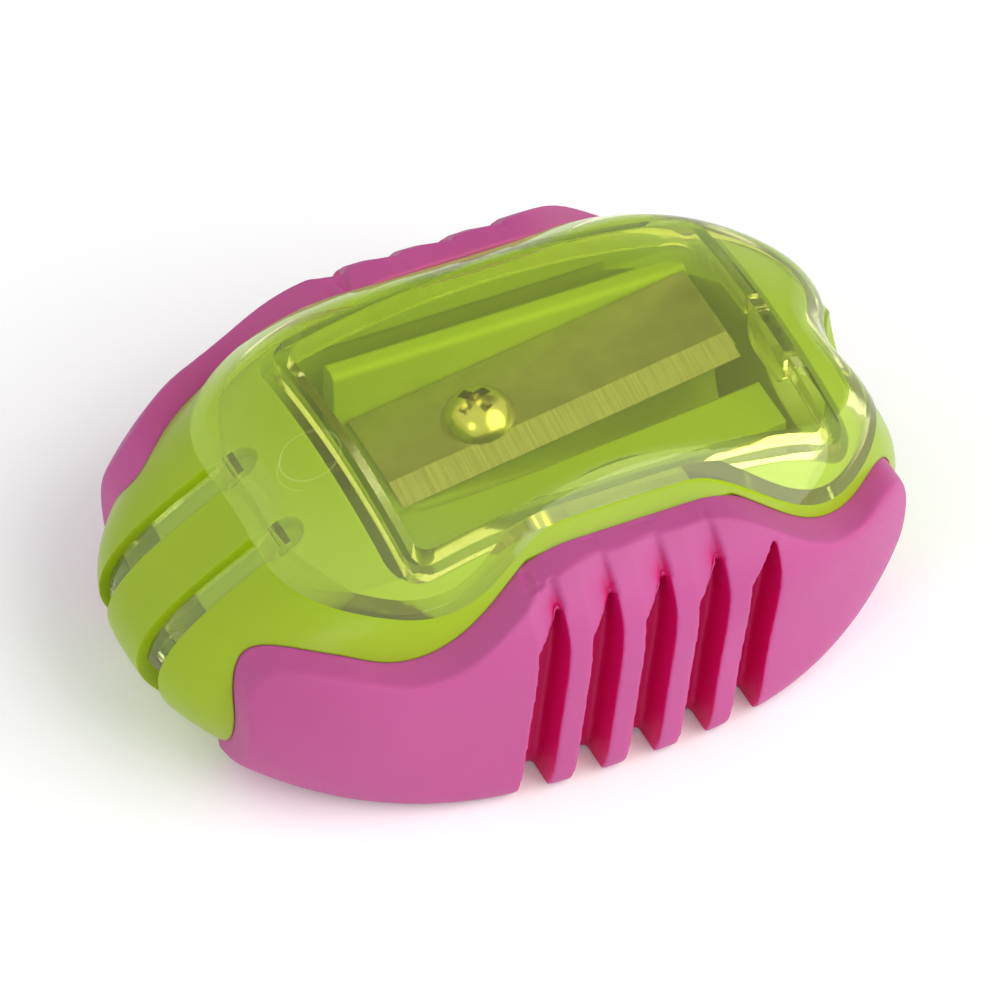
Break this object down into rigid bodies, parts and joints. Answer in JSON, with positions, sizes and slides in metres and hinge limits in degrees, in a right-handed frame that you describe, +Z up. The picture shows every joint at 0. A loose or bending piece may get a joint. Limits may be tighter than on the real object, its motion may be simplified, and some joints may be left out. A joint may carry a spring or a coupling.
{
  "type": "pencil sharpener",
  "caption": "Hand-held pencil sharpener: pebble-shaped shavings container with a hinged see-through lid, soft side grips and a screwed blade over a conical pencil guide.",
  "frame": {"origin": "bottom centre of the bounding box, on the table face of the base cover", "axes": "+X from the lid's hinge to the pencil hole, +Y to the rear grip, +Z up"},
  "size_m": [0.053, 0.0376, 0.0202],
  "materials": {
    "body_green": "moulded, satin gloss, lime green",
    "base_green": "moulded, satin gloss, lime green",
    "carrier_green": "moulded, lime green",
    "lid_clear": "polished, see-through yellow-green",
    "grip_soft": "matt, soft-touch magenta",
    "blade_steel": "ground",
    "screw_steel": "bright, rolled"
  },
  "bodies": {
    "body": {"body_shell": "body_green", "base_cover": "base_green", "grip_front": "grip_soft", "grip_rear": "grip_soft", "blade_carrier": "carrier_green", "blade": "blade_steel", "blade_screw": "screw_steel"},
    "lid": {"lid": "lid_clear"}
  },
  "joints": [
    {"name": "lid_hinge", "type": "hinge", "parent": "body", "child": "lid", "pos_m": [-0.0236, 0, 0.0069], "axis": [0, -1, 0], "range_deg": [0, 100]}
  ]
}
